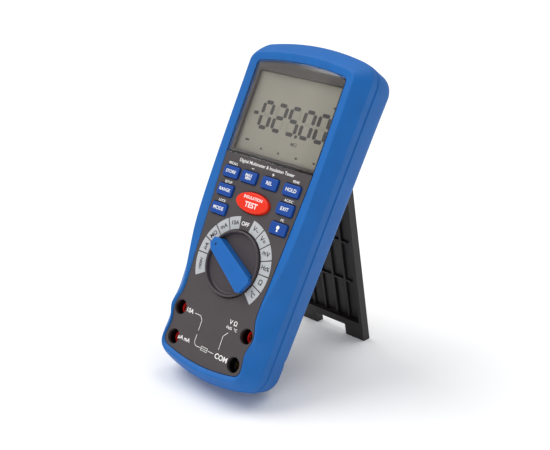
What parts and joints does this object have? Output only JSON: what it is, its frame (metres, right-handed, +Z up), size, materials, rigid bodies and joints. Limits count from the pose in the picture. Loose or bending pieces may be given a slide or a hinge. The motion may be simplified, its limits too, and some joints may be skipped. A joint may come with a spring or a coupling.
{
  "type": "handheld digital multimeter",
  "caption": "Handheld multimeter and insulation tester: rubber-rimmed case, LCD, press keys, rotary selector, test-lead sockets and a fold-out tilt stand.",
  "frame": {"origin": "centre of the standing meter's box, on the ground it rests on", "axes": "+X to the right across the face, +Y away from the person reading it, +Z up; the face leans back 26.5 degrees"},
  "size_m": [0.0924, 0.1338, 0.1945],
  "materials": {
    "case_blue": "soft-touch matt",
    "seal_dark": "matt",
    "panel_grey": "fine matt texture",
    "window_clear": "gloss",
    "lcd_glass": "satin",
    "bezel_grey": "matt",
    "scale_silver": "printed satin",
    "key_blue": "moulded rubber, satin",
    "test_orange": "moulded rubber, satin",
    "knob_grey": "satin",
    "pointer_blue": "satin",
    "stand_black": "fine matt texture",
    "black_plastic": "matt",
    "socket_red": "gloss",
    "black_rubber": "matt",
    "white_plastic": "matt",
    "board_green": "solder mask",
    "brass": "bright",
    "steel": "bright zinc",
    "ceramic_white": "matt",
    "cell_jacket": "gloss"
  },
  "bodies": {
    "case": {"backlight_panel": "white_plastic", "battery_1": "cell_jacket", "battery_2": "cell_jacket", "battery_3": "cell_jacket", "battery_4": "cell_jacket", "battery_door": "black_plastic", "battery_holder": "black_plastic", "buzzer": "black_plastic", "case_screw_bottom_left": "steel", "case_screw_bottom_right": "steel", "case_screw_top_left": "steel", "case_screw_top_right": "steel", "case_seal": "seal_dark", "detent_spring": "steel", "dial_scale_left": "scale_silver", "dial_scale_right": "scale_silver", "display_bezel": "bezel_grey", "display_window": "window_clear", "door_screw_left": "steel", "door_screw_right": "steel", "face_panel": "panel_grey", "front_cover": "case_blue", "fuse_10a": "ceramic_white", "fuse_10a_clip_left": "brass", "fuse_10a_clip_right": "brass", "fuse_ma": "ceramic_white", "fuse_ma_clip_left": "brass", "fuse_ma_clip_right": "brass", "jack_block": "black_plastic", "jack_contact_10a": "brass", "jack_contact_com": "brass", "jack_contact_ma": "brass", "jack_contact_volts": "brass", "jack_sleeve_10a": "socket_red", "jack_sleeve_com": "black_plastic", "jack_sleeve_ma": "socket_red", "jack_sleeve_volts": "socket_red", "keypad_board": "board_green", "keypad_membrane": "black_rubber", "knob_seal": "black_rubber", "lcd_connector": "black_rubber", "lcd_glass": "lcd_glass", "main_board": "board_green", "rear_cover": "case_blue", "stand_pin_left": "steel", "stand_pin_right": "steel"},
    "knob": {"knob_dial": "knob_grey", "knob_pointer": "pointer_blue", "knob_shaft": "white_plastic", "selector_rotor": "white_plastic"},
    "stand": {"tilt_stand": "stand_black"},
    "key_exit": {"button_exit": "key_blue"},
    "key_hold": {"button_hold": "key_blue"},
    "key_light": {"button_light": "key_blue"},
    "key_min_max": {"button_min_max": "key_blue"},
    "key_mode": {"button_mode": "key_blue"},
    "key_range": {"button_range": "key_blue"},
    "key_rel": {"button_rel": "key_blue"},
    "key_store": {"button_store": "key_blue"},
    "key_test": {"button_test": "test_orange"}
  },
  "joints": [
    {"name": "press_exit", "type": "slide", "parent": "case", "child": "key_exit", "axis": [0, 0.8949, -0.4462], "range_m": [0, 0.0012], "stiffness_N_per_m": 400},
    {"name": "press_hold", "type": "slide", "parent": "case", "child": "key_hold", "axis": [0, 0.8949, -0.4462], "range_m": [0, 0.0012], "stiffness_N_per_m": 400},
    {"name": "press_light", "type": "slide", "parent": "case", "child": "key_light", "axis": [0, 0.8949, -0.4462], "range_m": [0, 0.0012], "stiffness_N_per_m": 400},
    {"name": "press_min_max", "type": "slide", "parent": "case", "child": "key_min_max", "axis": [0, 0.8949, -0.4462], "range_m": [0, 0.0012], "stiffness_N_per_m": 400},
    {"name": "press_mode", "type": "slide", "parent": "case", "child": "key_mode", "axis": [0, 0.8949, -0.4462], "range_m": [0, 0.0012], "stiffness_N_per_m": 400},
    {"name": "press_range", "type": "slide", "parent": "case", "child": "key_range", "axis": [0, 0.8949, -0.4462], "range_m": [0, 0.0012], "stiffness_N_per_m": 400},
    {"name": "press_rel", "type": "slide", "parent": "case", "child": "key_rel", "axis": [0, 0.8949, -0.4462], "range_m": [0, 0.0012], "stiffness_N_per_m": 400},
    {"name": "press_store", "type": "slide", "parent": "case", "child": "key_store", "axis": [0, 0.8949, -0.4462], "range_m": [0, 0.0012], "stiffness_N_per_m": 400},
    {"name": "press_test", "type": "slide", "parent": "case", "child": "key_test", "axis": [0, 0.8949, -0.4462], "range_m": [0, 0.0014], "stiffness_N_per_m": 600},
    {"name": "selector_turn", "type": "hinge", "parent": "case", "child": "knob", "pos_m": [0, -0.0367, 0.07528], "axis": [0, -0.8949, 0.4462], "range_deg": [-180, 45]},
    {"name": "stand_fold", "type": "hinge", "parent": "case", "child": "stand", "pos_m": [0, 0.02992, 0.13202], "axis": [1, 0, 0], "range_deg": [-40.9, 0]}
  ]
}
